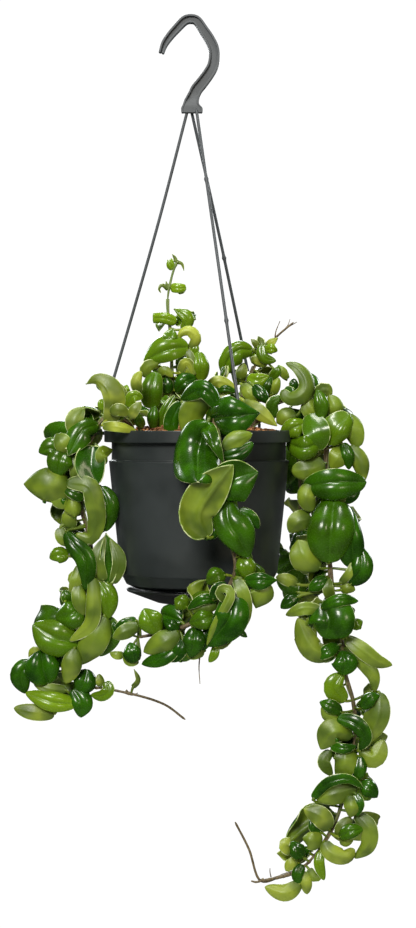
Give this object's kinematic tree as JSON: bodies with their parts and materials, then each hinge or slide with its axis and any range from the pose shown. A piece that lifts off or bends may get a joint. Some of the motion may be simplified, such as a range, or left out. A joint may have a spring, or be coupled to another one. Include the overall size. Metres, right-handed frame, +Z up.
{
  "type": "hanging rope plant in pot",
  "caption": "Trailing plant with curled waxy leaves in a tapered hanging pot with a clip-on saucer, carried by a hook on three rods.",
  "frame": {"origin": "inner crest of the hook, where it rests on what it hangs from", "axes": "+Z up, -Y is the front that the picture shows, +X to the right in it"},
  "size_m": [0.3092, 0.2574, 0.7117],
  "materials": {
    "pot_charcoal": "dark charcoal moulded plastic, faintly scuffed",
    "saucer_black": "black moulded plastic",
    "bark_mix": "rough orange-brown bark chips",
    "hanger_grey": "grey moulded plastic with a soft sheen",
    "leaf_green": "waxy: dark green above, pale yellow-green below, brown-green stems"
  },
  "bodies": {
    "root": {"pot": "pot_charcoal", "saucer": "saucer_black", "soil": "bark_mix", "hook": "hanger_grey", "rod_left": "hanger_grey", "rod_front": "hanger_grey", "rod_back": "hanger_grey", "vine_left": "leaf_green", "vine_front": "leaf_green", "vine_right": "leaf_green", "vine_right_back": "leaf_green", "shoot_upright": "leaf_green", "shoot_twig": "leaf_green", "shoot_left": "leaf_green", "shoot_centre": "leaf_green", "shoot_back": "leaf_green"}
  },
  "joints": []
}
